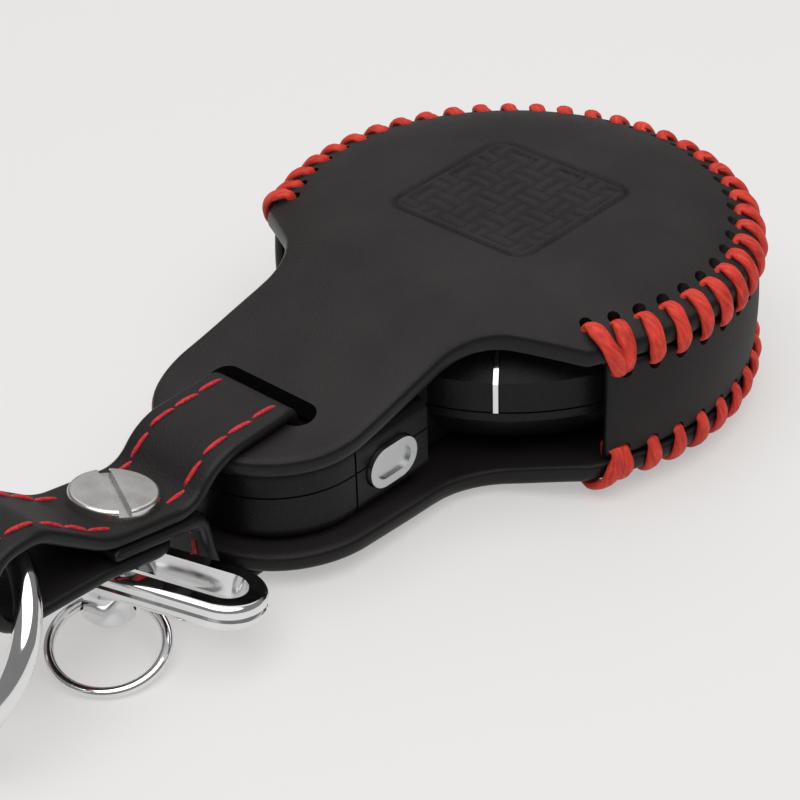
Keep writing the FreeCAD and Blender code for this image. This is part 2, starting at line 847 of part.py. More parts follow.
def make_key_handle(half):
    wide = blade_width + 2 * blade_clearance
    corner = Vector(blade_root_x - blade_clearance, -wide / 2, blade_bottom - blade_clearance)
    root = Part.makeBox(blade_root_depth + overrun, wide, blade_thickness + 2 * blade_clearance, corner)
    return handle_blank().common(half).cut(root)


def make_key_blade():
    """Flat steel blade with a pointed tip."""
    half = blade_width / 2
    points = [(blade_root_x, -half), (blade_tip_x - blade_tip_length, -half), (blade_tip_x, 0),
              (blade_tip_x - blade_tip_length, half), (blade_root_x, half), (blade_root_x, -half)]
    flat = Part.Face(Part.makePolygon([Vector(x, y, blade_bottom) for x, y in points]))
    return flat.extrude(up * blade_thickness)


nodes = {
    "top_panel": make_top_panel(),
    "bottom_panel": make_bottom_panel(),
    "side_gusset": make_gusset(),
    "top_lacing": make_lacing(1),
    "bottom_lacing": make_lacing(-1),
    "strap": make_strap(),
    "strap_screw": make_strap_screw(),
    "screw_post": make_screw_post(),
    "small_ring": make_small_ring(),
    "key_bow": make_key_bow(),
    "loop_ring": make_loop_ring(),
    "fob_upper_shell": make_upper_shell(),
    "fob_lower_shell": make_lower_shell(),
    "fob_trim": trim_band(trim_depth, trim_proud, 0),
    "battery_cover": make_battery_cover(),
    "coin_cell": make_coin_cell(),
    "circuit_board": make_circuit_board(),
    "key_handle_upper": make_key_handle(upper_half()),
    "key_handle_lower": make_key_handle(lower_half()),
    "key_blade": make_key_blade(),
    "release_button": make_release_button(),
    "lock_button": make_face_button(0),
    "unlock_button": make_face_button(1),
    "boot_button": make_face_button(2),
}

os.makedirs("parts", exist_ok=True)
for name, shape in nodes.items():
    shape.exportStep("parts/" + name + ".step")
    print(name, "solids", len(shape.Solids), "volume", round(shape.Volume, 1), "valid", shape.isValid())
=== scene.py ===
# %% [markdown]
# # A laced leather cover on a round key fob
# The real object is a paddle-shaped leather cover: two panels and a strip between them, sewn round
# the head with waxed red cord, and a stitched strap that a slotted screw closes round its rings.
# The rigid pieces come from the CAD frame as they are. Leather and cord are remade here, because
# their worn edges, grain and soft bends are what the eye looks for.

# %% the frame and the millimetre
import bpy
import bmesh
import math
import numpy as np
from functools import partial
from mathutils import Matrix, Vector


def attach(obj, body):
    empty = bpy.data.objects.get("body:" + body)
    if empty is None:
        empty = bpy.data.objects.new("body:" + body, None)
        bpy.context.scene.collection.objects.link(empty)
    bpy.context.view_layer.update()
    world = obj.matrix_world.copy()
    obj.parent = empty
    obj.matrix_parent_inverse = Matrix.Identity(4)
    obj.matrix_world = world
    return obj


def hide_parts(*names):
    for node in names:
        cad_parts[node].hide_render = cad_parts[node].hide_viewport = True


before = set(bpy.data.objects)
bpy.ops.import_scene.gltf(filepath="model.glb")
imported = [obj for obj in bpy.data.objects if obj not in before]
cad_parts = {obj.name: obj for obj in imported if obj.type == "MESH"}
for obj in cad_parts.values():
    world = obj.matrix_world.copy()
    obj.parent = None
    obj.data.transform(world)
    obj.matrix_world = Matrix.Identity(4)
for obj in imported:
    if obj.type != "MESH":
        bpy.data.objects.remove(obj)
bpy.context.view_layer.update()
MM = 0.001

# %% [markdown]
# ## From arrays to meshes
# A surface is a grid of points, worked out as one array. Its faces are the grid's squares, so they
# come from index arithmetic. Doubled points at seams and poles are merged afterwards, which keeps a
# texture map that breaks at the seam.

# %% grid helpers
def grid_faces(rows, columns):
    """Squares between neighbours: point (i, j) has number i * columns + j."""
    i, j = np.meshgrid(np.arange(rows - 1), np.arange(columns - 1), indexing="ij")
    a = (i * columns + j).ravel()
    return np.stack([a, a + 1, a + columns + 1, a + columns], axis=1)


def unit(vectors):
    """The same directions with length 1."""
    return vectors / np.linalg.norm(vectors, axis=-1, keepdims=True)


def run_along(line):
    """Distance of every point of a line from its start, measured along the line."""
    steps = np.linalg.norm(np.diff(line, axis=0), axis=1)
    return np.concatenate([[0], np.cumsum(steps)])


def smooth(mesh, sharp=40.0):
    """Smooth shading that breaks at edges sharper than this many degrees."""
    mesh.shade_smooth()
    mesh.set_sharp_from_angle(angle=math.radians(sharp))


def put_mesh(name, points, faces, uv=None, edge=None, sharp=40.0):
    """A closed object at the origin from points in millimetres, its doubles merged, faces outwards."""
    mesh = bpy.data.meshes.new(name)
    mesh.from_pydata((points.reshape(-1, 3) * MM).tolist(), [], faces.tolist())
    corner = np.empty(len(mesh.loops), dtype=np.int32)
    mesh.loops.foreach_get("vertex_index", corner)
    if uv is not None:
        layer = mesh.uv_layers.new(name="run")
        layer.data.foreach_set("uv", uv.reshape(-1, 2)[corner].astype(np.float32).ravel())
    if edge is not None:
        layer = mesh.attributes.new("edge", "FLOAT", "POINT")
        layer.data.foreach_set("value", edge.astype(np.float32).ravel())
    work = bmesh.new()
    work.from_mesh(mesh)
    bmesh.ops.remove_doubles(work, verts=work.verts, dist=2e-6)
    bmesh.ops.dissolve_degenerate(work, edges=work.edges, dist=1e-7)
    bmesh.ops.recalc_face_normals(work, faces=work.faces)
    work.to_mesh(mesh)
    work.free()
    smooth(mesh, sharp)
    piece = bpy.data.objects.new(name, mesh)
    bpy.context.scene.collection.objects.link(piece)
    print(name, "faces", len(mesh.polygons))
    return piece


# %% [markdown]
# ## The panels' shape
# Both panels are one paddle outline: round head, straight shoulders, hollow neck and round tail.
# The lacing draws the rim in, so the head is pillowed, and the panels lean together at the tail. The
# top panel's last few millimetres bend down hardest, where the cord pulls leather over the edge.
# Heights are formulas of x and y, which lets the same formula place the lace holes.

# %% outline and heights
leather = 2.0
head_radius = 26.0
head_height = 21.2
rim_drop = 2.4
rim_bend = 1.1
rim_bend_width = 8.5
crest_radius = 13.0
tail_radius = 11.9
tail_reach = 35.5
tail_top = 14.8
tail_bottom = 1.8
slope_start = 12
slope_length = 30
rest_sink = 0.06
lace_fade_start = 125
lace_fade_span = 40
shoulder_angle = 123
shoulder_turn = 58
neck_radius = 8


def ease(t):
    """Goes from 0 to 1 with level ends."""
    t = np.clip(t, 0, 1)
    return t * t * (3 - 2 * t)


def rim_fall(x, y):
    """Square of how far a point lies past the crest, faded out towards the neck."""
    share = np.clip((np.hypot(x, y) - crest_radius) / (head_radius - crest_radius), 0, 1.2)
    return rim_drop * share ** 2 * laced_part(x, y)


def laced_part(x, y):
    """1 round the laced head, fading to 0 over the neck."""
    return 1 - ease((np.degrees(np.abs(np.arctan2(y, x))) - lace_fade_start) / lace_fade_span)


def edge_fall(x, y):
    """The cord's extra pull: square of how far a point lies past the start of the edge bend."""
    share = np.clip((np.hypot(x, y) - head_radius + rim_bend_width) / rim_bend_width, 0, 1.1)
    return rim_bend * share ** 2 * laced_part(x, y)


def face_z(side, x, y):
    """Outer face of the top panel (side 1) or the bottom panel (side -1)."""
    slope = ease((-x - slope_start) / slope_length)
    if side > 0:
        return head_height - rim_fall(x, y) - edge_fall(x, y) - (head_height - tail_top) * slope
    return np.maximum(rim_fall(x, y) + tail_bottom * slope - rest_sink, 0)


def arc(cx, cy, radius, start, end, count):
    """Points on a circle from one angle to another, in degrees."""
    a = np.radians(np.linspace(start, end, count))
    return np.stack([cx + radius * np.cos(a), cy + radius * np.sin(a)], axis=1)


def paddle_outline(count):
    """Evenly spaced points round the paddle: one half from arcs and lines, then its mirror image."""
    corner = arc(0, 0, head_radius, -shoulder_angle, -shoulder_angle, 1)[0]
    turn = math.radians(shoulder_turn)
    neck_y = tail_radius + neck_radius * (1 - math.cos(turn))
    neck_x = corner[0] - (-corner[1] - neck_y) / math.tan(turn)
    start_x = neck_x - neck_radius * math.sin(turn)
    tail = arc(-tail_reach, 0, tail_radius, 180, 270, 60)
    neck = arc(start_x, -tail_radius - neck_radius, neck_radius, 90, 90 - shoulder_turn, 40)
    head = arc(0, 0, head_radius, -shoulder_angle, 0, 160)
    half = np.concatenate([tail, neck, head])
    loop = np.concatenate([half, half[::-1] * [1, -1]])
    run = run_along(loop)
    even = np.linspace(0, run[-1], count + 1)
    return np.stack([np.interp(even, run, loop[:, 0]), np.interp(even, run, loop[:, 1])], axis=1)


outline = paddle_outline(640)
print("outline", np.ptp(outline, axis=0).round(2))

# %% [markdown]
# ## Where the lace goes
# Each stitch comes up through the panel, over the rim and in through the side strip, then climbs to
# the next hole inside. The end stitches lean to their neighbour and lie over it, as a saddler
# finishes a seam. The cord's middle stays less than its own half width off the leather, because a
# tight seam sinks in.

# %% lace corners
stitch_count = 34
stitch_span = 121.5
end_lean = 1.8
hole_inset = 2.45
strip_hole_drop = 1.1
strip_hole_depth = 2.4
strip_pull = 0.05
tuck_margin = 0.3
lace_proud = np.full(stitch_count, 0.34)
lace_proud[[0, -1]] = 0.7
stitch_angles = np.linspace(-stitch_span, stitch_span, stitch_count)
gusset_angles = stitch_angles.copy()
gusset_angles[0] = stitch_angles[1] - end_lean
gusset_angles[-1] = stitch_angles[-2] + end_lean


def ring_points(radius, degrees, z):
    """Points round the head's axis at these radii, angles and heights."""
    a = np.radians(degrees)
    return np.stack(np.broadcast_arrays(radius * np.cos(a), radius * np.sin(a), z), axis=-1)


def stitch_corners(side):
    """Four corners of every stitch: over the hole, over the rim, at the side strip, inside it."""
    rim_angles = (stitch_angles + gusset_angles) / 2
    hole = ring_points(head_radius - hole_inset, stitch_angles, 0.0)
    rim = ring_points(head_radius, rim_angles, 0.0)
    level = face_z(side, head_radius, 0.0) - side * (leather + strip_hole_drop)
    over_hole = ring_points(head_radius - hole_inset, stitch_angles,
                            face_z(side, hole[:, 0], hole[:, 1]) + side * lace_proud)
    over_rim = ring_points(head_radius + lace_proud, rim_angles,
                           face_z(side, rim[:, 0], rim[:, 1]) + side * lace_proud)
    outside = ring_points(head_radius + lace_proud - strip_pull, gusset_angles, level)
    inside = ring_points(head_radius - strip_hole_depth, gusset_angles, level)
    return np.stack([over_hole, over_rim, outside, inside], axis=1)


def tucked_start(side, stitches):
    """The cord's hidden end, straight below the first hole and inside the panel."""
    return stitches[0, 0] - [0, 0, side * (lace_proud[0] + leather - tuck_margin)]


print("stitches", stitch_corners(1).shape)

# %% [markdown]
# ## Cutting real holes
# A punched hole shows a dark wall when the light comes low, so holes are cut from the mesh. Many
# prisms go into one cutter and one Boolean, whose result is kept as a plain mesh.

# %% prisms and punching
def prisms(starts, ends, radius, sides=10):
    """Round prisms from starts to ends: two rings of points each and a face at either end."""
    along = unit(ends - starts)
    help_axis = np.where(np.abs(along[:, 2:]) > 0.7, [[1.0, 0, 0]], [[0, 0, 1.0]])
    u = unit(np.cross(along, help_axis))
    v = np.cross(along, u)
    a = np.linspace(0, 2 * np.pi, sides, endpoint=False)
    ring = radius * (u[:, None] * np.cos(a)[:, None] + v[:, None] * np.sin(a)[:, None])
    points = np.stack([starts[:, None] + ring, ends[:, None] + ring], axis=1)
    k = np.arange(sides)
    quads = np.stack([k, (k + 1) % sides, (k + 1) % sides + sides, k + sides], axis=1)
    base = np.arange(len(starts)) * 2 * sides
    walls = (quads[None] + base[:, None, None]).reshape(-1, 4)
    caps = np.concatenate([base[:, None] + k[::-1], base[:, None] + sides + k])
    return points.reshape(-1, 3), walls.tolist() + caps.tolist()


def punch(piece, points, faces):
    """Takes the prisms away from the piece for good."""
    mesh = bpy.data.meshes.new("punch")
    mesh.from_pydata((points * MM).tolist(), [], faces)
    cutter = bpy.data.objects.new("punch", mesh)
    bpy.context.scene.collection.objects.link(cutter)
    cut = piece.modifiers.new("holes", "BOOLEAN")
    cut.operation = "DIFFERENCE"
    cut.solver = "EXACT"
    cut.object = cutter
    done = bpy.data.meshes.new_from_object(piece.evaluated_get(bpy.context.evaluated_depsgraph_get()))
    old = piece.data
    piece.modifiers.clear()
    piece.data = done
    done.name = piece.name
    bpy.data.meshes.remove(old)
    bpy.data.meshes.remove(mesh)
    smooth(done)
    print(piece.name, "punched, faces", len(done.polygons))


# %% [markdown]
# ## Top and bottom panels
# Each row of the grid is the outline drawn in towards the spine, a line from the tail's centre to
# the head's. The rows run from the spine over the face, round the rolled edge and back below. The
# head bears a tooled square of basket weave. It is pressed into the surface itself, so that it shows
# in any light, and the rows lie closer there.

# %% panels
edge_roll = 0.9
roll_power = 0.8
close_share = 0.56
panel_hole_radius = 0.68
panel_hole_overshoot = 0.4
panel_hole_shift = np.array([0.983, 0.983, 1])
slot_center_x = -37.15
slot_half = 5.0
slot_radius = 1.7
slot_low = -5.0
slot_high = 30.0
stamp_half = 9.6
stamp_corner = 2.4
stamp_cell = 3.2
stamp_border = 1.2
stamp_depth = 0.3
stamp_fade = 0.5
groove_half = 0.55
bar_rise = 0.75
bar_run_out = 0.18


def stamp_relief(x, y):
    """Share of the depth: a rounded square groove, and bars that swap direction and end at each cell."""
    past_x, past_y = (np.maximum(np.abs(v) - stamp_half + stamp_corner, 0) for v in (x, y))
    away = np.hypot(past_x, past_y) - stamp_corner
    groove = ease(1 - np.abs(away + groove_half) / groove_half)
    odd = (np.floor(x / stamp_cell) + np.floor(y / stamp_cell)) % 2
    across, along = (np.where(odd > 0.5, *pair) / stamp_cell for pair in ((x, y), (y, x)))
    from_end = 0.5 - np.abs(along - np.floor(along) - 0.5)
    bars = np.abs(np.sin(2 * np.pi * across)) * ease(from_end / bar_run_out)
    inside = ease((-away - stamp_border) / stamp_fade)
    return np.maximum(groove, inside * (1 - bar_rise * bars))


def slot_prism():
    """Upright prism with round ends where the strap passes, taller than both panels."""
    ring = np.concatenate([arc(slot_center_x, slot_half, slot_radius, 0, 180, 14),
                           arc(slot_center_x, -slot_half, slot_radius, 180, 360, 14)])
    n = len(ring)
    low = np.column_stack([ring, np.full(n, slot_low)])
    high = np.column_stack([ring, np.full(n, slot_high)])
    k = np.arange(n)
    walls = np.stack([k, (k + 1) % n, (k + 1) % n + n, k + n], axis=1).tolist()
    return np.concatenate([low, high]), walls + [k[::-1].tolist(), (k + n).tolist()]


def join(first, second):
    """Two point and face lists as one."""
    shift = len(first[0])
    moved = [[i + shift for i in face] for face in second[1]]
    return np.concatenate([first[0], second[0]]), first[1] + moved


def make_panel(name, side):
    """Point = spine + direction * reach; height = outer face less the share of the thickness passed."""
    spine = np.column_stack([np.clip(outline[:, 0], -tail_reach, 0), np.zeros(len(outline))])
    reach = np.linalg.norm(outline - spine, axis=1, keepdims=True)
    way = (outline - spine) / reach
    close = np.linspace(0, close_share, 50)
    wide = np.sin(np.linspace(0, np.pi / 2, 24))
    outer = np.concatenate([close, close_share + (1 - close_share) * wide[1:]])
    phi = np.linspace(np.pi / 2, -np.pi / 2, 13)[1:-1]
    face_rows = spine + way * (reach - edge_roll) * outer[:, None, None]
    back_rows = spine + way * (reach - edge_roll) * wide[::-1, None, None]
    roll_rows = outline - way * edge_roll * (1 - np.cos(phi) ** roll_power)[:, None, None]
    rows = np.concatenate([face_rows, roll_rows, back_rows])
    roll_passed = (1 - np.sign(np.sin(phi)) * np.abs(np.sin(phi)) ** roll_power) / 2
    passed = np.concatenate([np.zeros(len(outer)), roll_passed, np.ones(len(wide))])
    z = face_z(side, rows[..., 0], rows[..., 1]) - side * leather * passed[:, None]
    if side > 0:
        z[:len(outer)] -= stamp_depth * stamp_relief(face_rows[..., 0], face_rows[..., 1])
    points = np.concatenate([rows, z[..., None]], axis=-1)
    panel = put_mesh(name, points, grid_faces(*points.shape[:2]))
    stitches = stitch_corners(side)
    starts = np.concatenate([tucked_start(side, stitches)[None], stitches[:-1, 3]])
    ends = stitches[:, 0] + (stitches[:, 0] - starts) * panel_hole_overshoot
    holes = prisms(starts * panel_hole_shift, ends * panel_hole_shift, panel_hole_radius)
    punch(panel, *join(holes, slot_prism()))
    return panel


top_cover = make_panel("leather_top", 1)
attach(top_cover, "cover")
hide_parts("top_panel")
bottom_cover = make_panel("leather_bottom", -1)
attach(bottom_cover, "cover")
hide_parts("bottom_panel")

# %% [markdown]
# ## A strip of leather along a path
# The side strip and the strap are the same thing: a flat section with rolled edges, carried along a
# path. At both ends the section thins along a quarter circle, which rolls the end as well.

# %% strip
def strip_section(half_width, half_thick, flat_points=9, roll_points=7):
    """Closed section: two straight faces and two half circles, as (across, through, edge share)."""
    flat = np.linspace(-1, 1, flat_points)
    a = np.linspace(np.pi / 2, -np.pi / 2, roll_points + 2)[1:-1]
    span = half_width - half_thick
    level = np.ones(flat_points)
    across = np.concatenate([flat * span, span + half_thick * np.cos(a),
                             flat[::-1] * span, -span - half_thick * np.cos(a)])
    through = half_thick * np.concatenate([level, np.sin(a), -level, -np.sin(a)])
    rim = np.concatenate([np.zeros(flat_points), np.ones(roll_points)] * 2)
    return tuple(np.append(v, v[0]) for v in (across, through, rim))


def make_strip(name, path, outward, sideways, section, width_share=None):
    """Point = path + sideways * across + outward * through, with rolled ends."""
    across, through, rim = section
    share = np.ones(len(path)) if width_share is None else width_share
    tangent = unit(np.gradient(path, axis=0))
    a = np.linspace(0, np.pi / 2, 6)[1:]
    short = np.abs(through).max() * (np.sin(a) - 1)[:, None]
    body = path[2:-2]
    line = np.concatenate([path[0] - tangent[0] * short[::-1], body, path[-1] + tangent[-1] * short])
    last = len(path) - 1
    pick = np.concatenate([np.zeros(len(a), int), np.arange(2, last - 1), np.full(len(a), last)])
    thin = np.concatenate([np.cos(a[::-1]), np.ones(len(body)), np.cos(a)])
    end_edge = np.concatenate([np.ones(len(a)), np.zeros(len(body)), np.ones(len(a))])
    grid = (line[:, None] + sideways[pick][:, None] * (across * share[pick][:, None])[..., None]
            + outward[pick][:, None] * (through * thin[:, None])[..., None])
    edge = np.maximum(rim[None], end_edge[:, None])
    return put_mesh(name, grid, grid_faces(*grid.shape[:2]), edge=edge, sharp=60)


# %% [markdown]
# ## The side strip
# It stands between the panels round the head and bows out a little under the lacing's pull.

# %% side strip
strip_half_thick = 0.8
strip_inset = 0.2
strip_gap = 0.12
strip_span = 118.6
strip_bow = 0.4
strip_hole_radius = 0.72


def make_side_strip():
    """An upright strip on a circle, bowed out by 1 less the square of the height from its middle."""
    outer = head_radius - strip_inset
    high = float(face_z(1, outer, 0.0)) - leather - strip_gap
    low = float(face_z(-1, outer, 0.0)) + leather + strip_gap
    middle = (high + low) / 2
    half = (high - low) / 2
    way = ring_points(1.0, np.linspace(-strip_span, strip_span, 260), 0.0)
    path = way * (outer - strip_half_thick) + [0, 0, middle]
    upright = np.tile([0.0, 0, 1], (len(path), 1))
    section = strip_section(half, strip_half_thick, flat_points=17)
    strip = make_strip("leather_side", path, way, upright, section)
    xyz = np.empty(len(strip.data.vertices) * 3)
    strip.data.vertices.foreach_get("co", xyz)
    xyz = xyz.reshape(-1, 3)
    bow = strip_bow * MM * (1 - ((xyz[:, 2] / MM - middle) / half) ** 2)
    xyz[:, :2] *= 1 + (bow / np.hypot(xyz[:, 0], xyz[:, 1]))[:, None]
    strip.data.vertices.foreach_set("co", xyz.ravel())
    corners = np.concatenate([stitch_corners(1)[1:-1], stitch_corners(-1)[1:-1]])
    starts = corners[:, 3] * [0.9, 0.9, 1]
    ends = corners[:, 2] * [1.1, 1.1, 1]
    punch(strip, *prisms(starts, ends, strip_hole_radius))
    return strip


side_strip = make_side_strip()
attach(side_strip, "cover")
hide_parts("side_gusset")

# %% [markdown]
# ## Waxed lacing
# The cord is one line per seam. Two control points at each corner make a NURBS line that bends
# tightly at the holes, more softly over the rim, and runs straight between, as waxed cord does. The
# tube reads its points from that line and is flatter than wide, pressed by its own tension.

# %% lacing
cord_half_wide = 0.9
cord_half_thin = 0.5
cord_sides = 12
corner_softness = [0.6, 1.1, 0.6, 0.6]
squeezed = 0.68
squeeze_reach = 1.6


def nurbs_line(name, corners, resolution):
    """Points in millimetres along a quadratic NURBS line with these control points."""
    curve = bpy.data.curves.new(name, "CURVE")
    curve.dimensions = "3D"
    curve.resolution_u = resolution
    spline = curve.splines.new("NURBS")
    spline.points.add(len(corners) - 1)
    spline.points.foreach_set("co", np.column_stack([corners, np.ones(len(corners))]).ravel())
    spline.order_u = 3
    spline.use_endpoint_u = True
    holder = bpy.data.objects.new(name, curve)
    bpy.context.scene.collection.objects.link(holder)
    mesh = bpy.data.meshes.new_from_object(holder.evaluated_get(bpy.context.evaluated_depsgraph_get()))
    points = np.empty(len(mesh.vertices) * 3)
    mesh.vertices.foreach_get("co", points)
    bpy.data.objects.remove(holder)
    bpy.data.curves.remove(curve)
    bpy.data.meshes.remove(mesh)
    return points.reshape(-1, 3)


def cord_swell(line, run, stitches):
    """Share of full size: squeezed in a hole, 1 beyond its reach, with slow waves of unevenness."""
    holes = stitches[:, [0, 2]].reshape(-1, 3)
    away = np.linalg.norm(line[:, None] - holes[None], axis=2).min(axis=1)
    uneven = 0.05 * np.sin(0.83 * run) + 0.04 * np.sin(2.1 * run + 1.0)
    return (squeezed + (1 - squeezed) * ease(away / squeeze_reach)) * (1 + uneven)


def make_lacing(name, side):
    """Section = ellipse across the line, its wide axis along the direction round the head."""
    stitches = stitch_corners(side)
    last = stitches[-1, 3] * [0.985, 0.985, 1]
    first = tucked_start(side, stitches)
    route = np.concatenate([first[None], stitches.reshape(-1, 3)[:-1], last[None]])
    step = unit(np.diff(route, axis=0))
    soft = np.tile(corner_softness, stitch_count)[:-1, None]
    before = route[1:-1] - step[:-1] * soft
    after = route[1:-1] + step[1:] * soft
    pairs = np.stack([before, after], axis=1).reshape(-1, 3)
    line = nurbs_line(name, np.concatenate([route[:1], pairs, route[-1:]]), resolution=6)
    tangent = unit(np.gradient(line, axis=0))
    around = np.stack([-line[:, 1], line[:, 0], np.zeros(len(line))], axis=1)
    wide = unit(around - tangent * np.sum(around * tangent, axis=1, keepdims=True))
    thin = np.cross(tangent, wide)
    a = np.linspace(0, 2 * np.pi, cord_sides + 1)
    run = run_along(line)
    swell = cord_swell(line, run, stitches)[:, None, None]
    tube = line[:, None] + swell * (cord_half_wide * wide[:, None] * np.cos(a)[:, None]
                                    + cord_half_thin * thin[:, None] * np.sin(a)[:, None])
    tips = [np.repeat(line[k][None, None], len(a), axis=1) for k in (0, -1)]
    grid = np.concatenate([tips[0], tube, tips[1]])
    uv = np.stack(np.broadcast_arrays(run[:, None], (a / (2 * np.pi))[None]), axis=-1)
    uv = np.concatenate([uv[:1], uv, uv[-1:]])
    cord = put_mesh(name, grid, grid_faces(*grid.shape[:2]), uv=uv, sharp=70)
    print(name, "length mm", run[-1].round(1))
    return cord


top_cord = make_lacing("lace_top", 1)
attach(top_cord, "cover")
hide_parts("top_lacing")
bottom_cord = make_lacing("lace_bottom", -1)
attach(bottom_cord, "cover")
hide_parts("bottom_lacing")

# %% [markdown]
# ## The strap
# One strip: it starts between the layers under the screw, goes down behind the tail, up through both
# slots and the fob, back over the tail, round its loop and under the stack. The stack of three layers
# leans by 10 degrees. Straight runs and tangent arcs in the XZ plane give the path, with wide arcs
# where thick leather won't fold.

# %% strap path
strap_half_width = 5.5
strap_half_thick = 0.7
strap_lift = 0.85
layer_pitch = 1.52
end_corner = 3.5
screw_back = 9.2
stack_drop = 1.1
tail_end = tail_reach + tail_radius
screw_x = -(tail_end + screw_back)
stack_top = tail_top - stack_drop
stack_tilt = math.radians(10)
layers = strap_half_thick + layer_pitch * np.arange(3)


def stack_point(along, depth):
    """(x, z) in the leaning stack: the screw's seat, plus along its layers, plus down across them."""
    c, s = math.cos(stack_tilt), math.sin(stack_tilt)
    return screw_x + along * c - depth * s, stack_top - along * s - depth * c


def layer_z(x, depth):
    """Height at x of the leaning layer that lies so deep."""
    seat = stack_point(0, depth)
    return seat[1] - (x - seat[0]) * math.tan(stack_tilt)


def rounded_path(corners, step=0.45):
    """Runs and tangent arcs through (x, z, radius) corners: points, evenly spaced along them."""
    pts = np.array([(x, 0, z) for x, z, radius in corners])
    radii = [radius for x, z, radius in corners[1:]]
    pieces = [pts[:1]]
    for before, corner, after, radius in zip(pts, pts[1:], pts[2:], radii):
        t_in = unit(corner - before)
        t_out = unit(after - corner)
        half = math.acos(np.clip(t_in @ t_out, -1, 1)) / 2
        center = corner + unit(t_out - t_in) * radius / math.cos(half)
        a = np.linspace(-half, half, 14)[:, None]
        middle = unit(corner - center)
        sweep = unit(t_in + t_out)
        pieces.append(center + radius * (middle * np.cos(a) + sweep * np.sin(a)))
    line = np.concatenate(pieces + [pts[-1:]])
    run = run_along(line)
    even = np.linspace(0, run[-1], int(run[-1] / step))
    return np.stack([np.interp(even, run, line[:, k]) for k in range(3)], axis=1)


def strap_corners():
    """(x, z, radius) of every bend, from the hidden end to the free end."""
    slot_x = -(tail_reach + 2.5)
    under = float(face_z(-1, slot_x, 0.0)) - strap_lift
    over = float(face_z(1, slot_x, 0.0)) + strap_lift
    crest_x = -(tail_end + 0.7)
    crest_z = float(face_z(1, crest_x, 0.0)) + strap_lift
    drop_x = -(tail_end + 3.1)
    rise = stack_point(-5.3, layers[0])
    loop_top = stack_top + 5.6
    loop_left = screw_x - 18.4
    shoulder_x = rise[0] - (loop_top - rise[1]) / math.tan(math.radians(36))
    return [(*stack_point(-4.6, layers[1]), 0), (drop_x, layer_z(drop_x, layers[1]), 1.6),
            (-(tail_end + 1.2), under, 1.6), (slot_x, under, 1.0), (slot_x, over, 1.0),
            (crest_x, crest_z, 6.0), (*stack_point(5.4, layers[0]), 4.0),
            (*rise, 8.0), (shoulder_x, loop_top, 4.0), (loop_left, loop_top, 3.0),
            (loop_left, layer_z(loop_left, layers[2]) - 1.6, 3.0), (*stack_point(-5.3, layers[2]), 6.0),
            (*stack_point(4.2, layers[2]), 0)]


strap_path = rounded_path(strap_corners())
strap_tangent = unit(np.gradient(strap_path, axis=0))
strap_out = strap_tangent[:, [2, 1, 0]] * [1, 0, -1]
strap_side = np.tile([0.0, 1, 0], (len(strap_path), 1))
print("strap length mm", run_along(strap_path)[-1].round(1))

# %% strap
def end_width(path):
    """Width share: 1, less what a round corner takes from the last dozen points at the free end."""
    left = np.linalg.norm(path - path[-1], axis=1)
    last_points = np.arange(len(path)) > len(path) - 12
    near = np.clip(end_corner - left, 0, end_corner) * last_points
    straight = strap_half_width - end_corner
    return (straight + np.sqrt(end_corner ** 2 - near ** 2)) / strap_half_width


strap_section = strip_section(strap_half_width, strap_half_thick)
strap = make_strip("leather_strap", strap_path, strap_out, strap_side, strap_section, end_width(strap_path))
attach(strap, "cover")
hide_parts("strap")

# %% [markdown]
# ## Stitches on the strap
# Two rows of lockstitch run along the outer face. A stitch is a short bead sunk into the leather.
# All beads are one array: a small unit bead, stretched and set at every place. Layers that lie on
# each other hide their stitches, so none are made there.

# %% stitches
thread_pitch = 3.25
thread_row = 3.6
bead_half_long = 1.5
bead_radius = 0.23
bead_lean = 0.1
bead_height = 0.77
bead_dip = 0.2
bead_points = 9


def stitch_places():
    """Numbers of path points a pitch apart, less those that the stack, the screw or the fob hides."""
    run = run_along(strap_path)
    index = np.searchsorted(run, np.arange(1.6, run[-1] - 3.0, thread_pitch))
    x, z = strap_path[index, 0] - screw_x, strap_path[index, 2] - stack_top
    along = x * math.cos(stack_tilt) - z * math.sin(stack_tilt)
    depth = -x * math.sin(stack_tilt) - z * math.cos(stack_tilt)
    between_layers = (np.abs(depth - layers[1]) < 0.3) & (along < 6)
    under_screw = (np.abs(along) < 2.6) & (depth < 1.5)
    in_fob = strap_path[index, 0] > -40.2
    under_tail = strap_path[index, 2] < 1.6
    return index[~(between_layers | under_screw | in_fob | under_tail)]


def make_stitches():
    """Bead = path point + tangent * long + sideways * wide + outward * high, for every place at once."""
    index = stitch_places()
    half_turn = np.linspace(0, np.pi, bead_points)
    a, b = np.meshgrid(half_turn, 2 * half_turn, indexing="ij")
    girth = bead_radius * np.sin(a) ** 0.6
    bead = np.stack([bead_half_long * np.cos(a), girth * np.cos(b), girth * np.sin(b)], axis=-1)
    sunk = bead_height - bead_dip * (bead[..., 0] / bead_half_long) ** 4
    lean = bead[..., 1] + bead_lean * bead[..., 0]
    rows = []
    for row in (-thread_row, thread_row):
        centre = strap_path[index] + strap_side[index] * row
        rows.append(centre[:, None, None] + strap_tangent[index][:, None, None] * bead[None, ..., :1]
                    + strap_side[index][:, None, None] * lean[None, ..., None]
                    + strap_out[index][:, None, None] * (bead[..., 2] + sunk)[None, ..., None])
    beads = np.concatenate(rows)
    first_points = np.arange(len(beads)) * bead_points ** 2
    faces = (grid_faces(bead_points, bead_points) + first_points[:, None, None]).reshape(-1, 4)
    return put_mesh("strap_stitches", beads.reshape(-1, 3), faces, sharp=80)


stitches = make_stitches()
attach(stitches, "cover")

# %% [markdown]
# ## Shared effects
# Grain and mottling serve several leathers, so they are one node group. It takes coordinates and
# gives back values that change over the surface, and the shader itself stays in each material.

# %% node helpers
def wire(tree, pairs):
    """Links each output to its input."""
    for a, b in pairs:
        tree.links.new(a, b)


